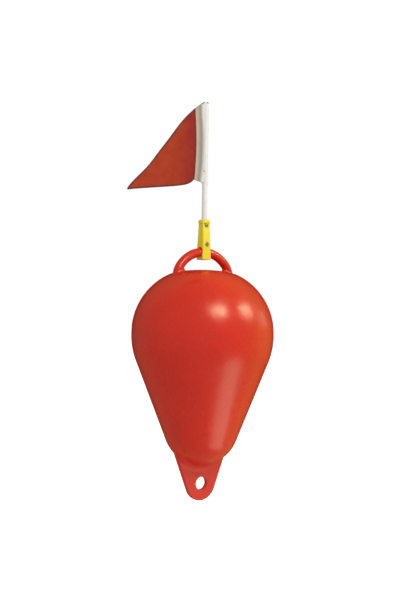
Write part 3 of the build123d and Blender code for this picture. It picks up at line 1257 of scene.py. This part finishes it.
class BUOY_OT_pennant(bpy.types.Operator):
    """Cut, ripple and hem the red pennant"""
    bl_idname = "buoy.pennant"
    bl_label = "Pennant"

    def execute(self, context):
        look = finish()
        tuck = cloth().tuck
        pennant = cloth_piece("pennant_cloth", 84, 48, pennant_point, pennant_flat, pennant_material())
        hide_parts("flag_cloth")
        # Dark cloth for the hems, as painted shade on the flag's edges, and for the seam strips, as a painted
        # shadow
        dark = cloth_material("Hem red", look.hem_red, shade=0.7, depth=0.35, specular=0.2)[0]
        places = []
        for name, hem in (("upper_hem", Hem(upper_edge, -1)), ("lower_hem", Hem(lower_edge, 1))):
            cloth_piece(name, 96, 20, hem.point, hem.flat, dark)
            places += hem.stitches(1) + hem.stitches(-1)
        # Dark strips along the seam on both faces: a painted shadow of the seam
        for name, side in (("front_tape", 1), ("rear_tape", -1)):
            cloth_piece(name, 4, 48, seam_shadow_strip(side), seam_shadow_flat, dark)
        thread = thread_material("Flag thread", look.flag_thread)
        sewn(places, "hem_stitches", thread)
        steps = 200
        reaches = [fly_length() * (step + 0.5) / steps for step in range(steps)]
        fly_area = sum(upper_edge(reach) - lower_edge(reach) for reach in reaches) / steps * fly_length()
        tuck_area = tuck * (upper_edge(0) - lower_edge(0))
        return {"FINISHED"}


class BUOY_OT_rivet(bpy.types.Operator):
    """Set the rivet that holds the sleeve on the mast"""
    bl_idname = "buoy.rivet"
    bl_label = "Sleeve rivet"

    def execute(self, context):
        size = fasteners()
        sunk = 0.4 * MM
        rim_share = 0.45
        proud = size.rivet_proud
        face = -mast_radius - cloth().slack - cloth().sheet
        front = face - proud
        rivet = ring("sleeve_rivet", size.rivet_radius, proud + sunk, face - (proud - sunk) / 2)
        round_rim(rivet, front, 0.7 * proud, 5)
        with editing(rivet, "FACE", lambda middle: abs(middle.y - front) < TOUCH):
            bpy.ops.mesh.inset(thickness=rim_share * size.rivet_radius)
            bpy.ops.mesh.extrude_region_move(TRANSFORM_OT_translate={"value": (0, 0.5 * proud, 0)})
        rivet.rotation_euler = (0, 0, size.rivet_turn)
        rivet.location = (0, 0, size.rivet_height)
        settle(rivet)
        tidy(rivet)
        smooth(rivet)
        grey = finish().rivet_grey
        pale = moulded_material(
            "Rivet grey", grey, darker(grey, 0.8), 0.3, 0.45,
            scuffs=0.2, Cloud_size=120.0, Peel_size=900.0, Peel_depth=0.05,
        )
        dress(rivet, pale, "flag_mast")
        return {"FINISHED"}


# Soft lamps: direction to the camera's right, towards it and up, then distance and size
LAMPS = {
    "key": ((0.385, 0.68, 0.62), 1.7, (0.60, 0.46)),
    "side": ((0.85, 0.14, 0.51), 1.6, (0.46, 0.44)),
    "rear": ((0.90, -0.36, 0.23), 1.7, (0.36, 0.40)),
    "low": ((0.63, 0.41, -0.65), 0.85, (0.40, 0.40)),
}
# Glow of the cards that the gloss shows in the lamps' places
CARD_GLOW = {"key": 24.0, "side": 20.0, "rear": 3.6}
# Bright strip on the floor that the gloss shows down the cone
STREAK_WAY = (0.86, 0.51, 0.0)
STREAK_DISTANCE = 0.83
STREAK_SIZE = (0.85, 0.50)
STREAK_GLOW = 4.1
# What else the gloss shows round the buoy
LEFT_GREY = (0.45, 0.43, 0.36, 1.0)
RIGHT_WARM = (1.15, 1.28, 0.34, 1.0)
FRONT_WHITE = (0.86, 0.86, 0.80, 1.0)
SURROUND_RADIUS = 2.6
SURROUND_FLOOR_GLOW = 0.75
FLOOR_SIZE = 40.0
CARD_GAP = 10 * MM  # cards behind their lamps, and above the floor


def floor_level():
    return cad_low.z - studio().floor_drop


def aim(way):
    """A direction given by its shares to the camera's right, towards the camera and up."""
    turn = studio().azimuth
    right = Vector((cos(turn), sin(turn), 0))
    near = Vector((sin(turn), -cos(turn), 0))
    return (right * way[0] + near * way[1] + Vector((0, 0, way[2]))).normalized()


def facing(toward):
    """Turn of a lamp or card that stands in a direction and faces the buoy."""
    return toward.to_track_quat("Z", "Y").to_euler()


def seen_rays(tree):
    """Socket that is 1 for the rays that see the background: the camera's, reflected and refracted ones."""
    rays = add_node(tree, "LightPath").outputs
    near = reckon(tree, "MAXIMUM", rays["Is Camera Ray"], rays["Is Glossy Ray"])
    return reckon(tree, "MAXIMUM", near, rays["Is Transmission Ray"])


class BUOY_OT_stage(bpy.types.Operator):
    """Set the floor, the lights and the camera"""
    bl_idname = "buoy.stage"
    bl_label = "Studio"

    def execute(self, context):
        scene = context.scene
        scene.view_settings.view_transform = "Standard"
        self.make_floor()
        self.make_world(scene)
        self.make_lights()
        self.make_cards()
        self.make_surround()
        self.make_camera(scene)
        return {"FINISHED"}

    def make_floor(self):
        deselect()
        bpy.ops.mesh.primitive_plane_add(size=FLOOR_SIZE, location=(0, 0, floor_level()))
        floor = named("floor")
        settle(floor)
        material, tree, shader = new_material(
            "Pale floor", Roughness=0.9, Base_Color=(0.9, 0.9, 0.9, 1.0), Emission_Color=WHITE
        )
        lift = reckon(tree, "MULTIPLY", seen_rays(tree), studio().floor_lift)
        fill_in(tree, shader, Emission_Strength=lift)
        floor.data.materials.append(material)

    def make_world(self, scene):
        """White where it is seen, and an even fill where it only lights."""
        world = bpy.data.worlds.new("White studio")
        scene.world = world
        world.use_nodes = True
        tree = world.node_tree
        tree.nodes.clear()
        either = add_node(tree, "MixShader")
        feed(tree, either.inputs[0], seen_rays(tree))
        for index, strength in ((1, studio().fill), (2, 1.0)):
            glow = add_node(tree, "Background", Color=WHITE, Strength=strength)
            feed(tree, either.inputs[index], glow.outputs[0])
        add_node(tree, "OutputWorld", Surface=either.outputs[0])

    def make_lights(self):
        """Lamps that light the surfaces; what the gloss shows of them are the cards."""
        view = studio()
        for name, power in (("key", view.key_power), ("side", view.side_power), ("low", view.low_power)):
            way, distance, size = LAMPS[name]
            toward = aim(way)
            data = bpy.data.lights.new(f"{name}_lamp", "AREA")
            data.shape = "RECTANGLE"
            data.size, data.size_y = size
            data.energy = power
            data.color = view.lamp_tint
            lamp = bpy.data.objects.new(f"{name}_lamp", data)
            bpy.context.collection.objects.link(lamp)
            lamp.location = toward * distance
            lamp.rotation_euler = facing(toward)
            lamp.visible_glossy = False

    def make_cards(self):
        """The bright faces of the lamps and the strip on the floor, which only the gloss shows."""
        view = studio()
        for name, glow in CARD_GLOW.items():
            way, distance, size = LAMPS[name]
            toward = aim(way)
            place = toward * (distance + CARD_GAP)
            self.make_card(name, place, facing(toward), size, glow, view.card_tint)
        streak = aim(STREAK_WAY)
        place = streak * STREAK_DISTANCE + Vector((0, 0, floor_level() + CARD_GAP))
        turn = (0, 0, atan2(streak.y, streak.x))
        self.make_card("floor", place, turn, STREAK_SIZE, STREAK_GLOW, view.streak_tint)

    def make_card(self, name, place, turn, size, glow, tint):
        deselect()
        bpy.ops.mesh.primitive_plane_add(size=1.0, location=place)
        card = named(f"{name}_card")
        card.scale = (*size, 1.0)
        card.rotation_euler = turn
        material, tree, shader = self.glowing_material(f"{name} card", glow)
        fill_in(tree, shader, Emission_Color=opaque(tint))
        self.show_in_gloss(card, material)

    def glowing_material(self, name, glow):
        return new_material(name, Roughness=0.9, Base_Color=BLACK, Emission_Strength=glow)

    def make_surround(self):
        """What else the gloss shows: white in front, warm on the right, grey on the left and dark behind."""
        low = floor_level() + CARD_GAP / 2
        deselect()
        bpy.ops.mesh.primitive_uv_sphere_add(segments=48, ring_count=24, radius=SURROUND_RADIUS)
        self.show_in_gloss(named("surround_dome"), self.surround_material("Surround", 1.0))
        deselect()
        bpy.ops.mesh.primitive_circle_add(
            vertices=48, radius=SURROUND_RADIUS, fill_type="NGON", location=(0, 0, low)
        )
        material = self.surround_material("Surround floor", SURROUND_FLOOR_GLOW)
        self.show_in_gloss(named("surround_floor"), material)

    def surround_material(self, name, strength):
        """Glow that depends on the direction from the buoy, with no edges."""
        material, tree, shader = self.glowing_material(name, strength)
        turned = add_node(tree, "Mapping", Vector=coords(tree), Rotation=(0.0, 0.0, -studio().azimuth))
        way = add_node(tree, "VectorMath", {"operation": "NORMALIZE"}, Vector=turned.outputs["Vector"])
        parts = add_node(tree, "SeparateXYZ", Vector=way.outputs[0]).outputs
        aside = value_range(tree, parts["X"], -1.0, 1.0, 0.0, 1.0)
        beside = mix_colour(tree, aside, LEFT_GREY, RIGHT_WARM)
        lit = value_range(tree, parts["Y"], 0.3, 0.9, 1.0, 0.0)
        rim = mix_colour(tree, lit, BLACK, beside)
        ahead = value_range(tree, parts["Y"], -0.85, 0.2, 1.0, 0.0)
        fill_in(tree, shader, Emission_Color=mix_colour(tree, ahead, rim, FRONT_WHITE))
        return material

    def show_in_gloss(self, card, material):
        """Makes a piece that only reflections see."""
        settle(card)
        card.data.materials.append(material)
        card.visible_camera = False
        card.visible_diffuse = False
        card.visible_transmission = False
        card.visible_shadow = False

    def make_camera(self, scene):
        view = studio()
        data = bpy.data.cameras.new("view_camera")
        camera = bpy.data.objects.new("view_camera", data)
        bpy.context.collection.objects.link(camera)
        near = aim((0, 1, 0))
        camera.location = near * view.distance + Vector((0, 0, view.eye_height))
        turn = (-near).to_track_quat("-Z", "Y").to_matrix() @ Matrix.Rotation(view.roll, 3, "Z")
        camera.rotation_euler = turn.to_euler()
        data.sensor_width = 36.0
        data.lens = data.sensor_width * view.distance / view.field
        data.shift_x = -view.aside
        scene.camera = camera


PIECES = (
    BUOY_OT_float,
    BUOY_OT_mast,
    BUOY_OT_clip,
    BUOY_OT_screws,
    BUOY_OT_nuts,
    BUOY_OT_sleeve,
    BUOY_OT_pennant,
    BUOY_OT_rivet,
    BUOY_OT_stage,
)


class BUOY_PT_sidebar(bpy.types.Panel):
    """Lists the steps and the sizes of the buoy"""
    bl_idname = "BUOY_PT_sidebar"
    bl_label = "Mooring buoy"
    bl_space_type = "VIEW_3D"
    bl_region_type = "UI"
    bl_category = "Buoy"

    def draw(self, context):
        for piece in PIECES:
            self.layout.operator(piece.bl_idname)
        for group in (finish(), cloth(), fasteners(), studio()):
            box = self.layout.box()
            for name in group.__annotations__:
                box.prop(group, name)


GROUPS = {
    "buoy_finish": BuoyFinish,
    "buoy_cloth": BuoyCloth,
    "buoy_fasteners": BuoyFasteners,
    "buoy_studio": BuoyStudio,
}


def register():
    for cls in (*GROUPS.values(), *PIECES, BUOY_PT_sidebar):
        bpy.utils.register_class(cls)
    for name, cls in GROUPS.items():
        setattr(bpy.types.Scene, name, PointerProperty(type=cls))


def unregister():
    for name in GROUPS:
        delattr(bpy.types.Scene, name)
    for cls in (BUOY_PT_sidebar, *reversed(PIECES), *reversed(GROUPS.values())):
        bpy.utils.unregister_class(cls)


def main():
    register()
    for piece in PIECES:
        area, step = piece.bl_idname.split(".")
        getattr(getattr(bpy.ops, area), step)()


if __name__ == "__main__":
    main()
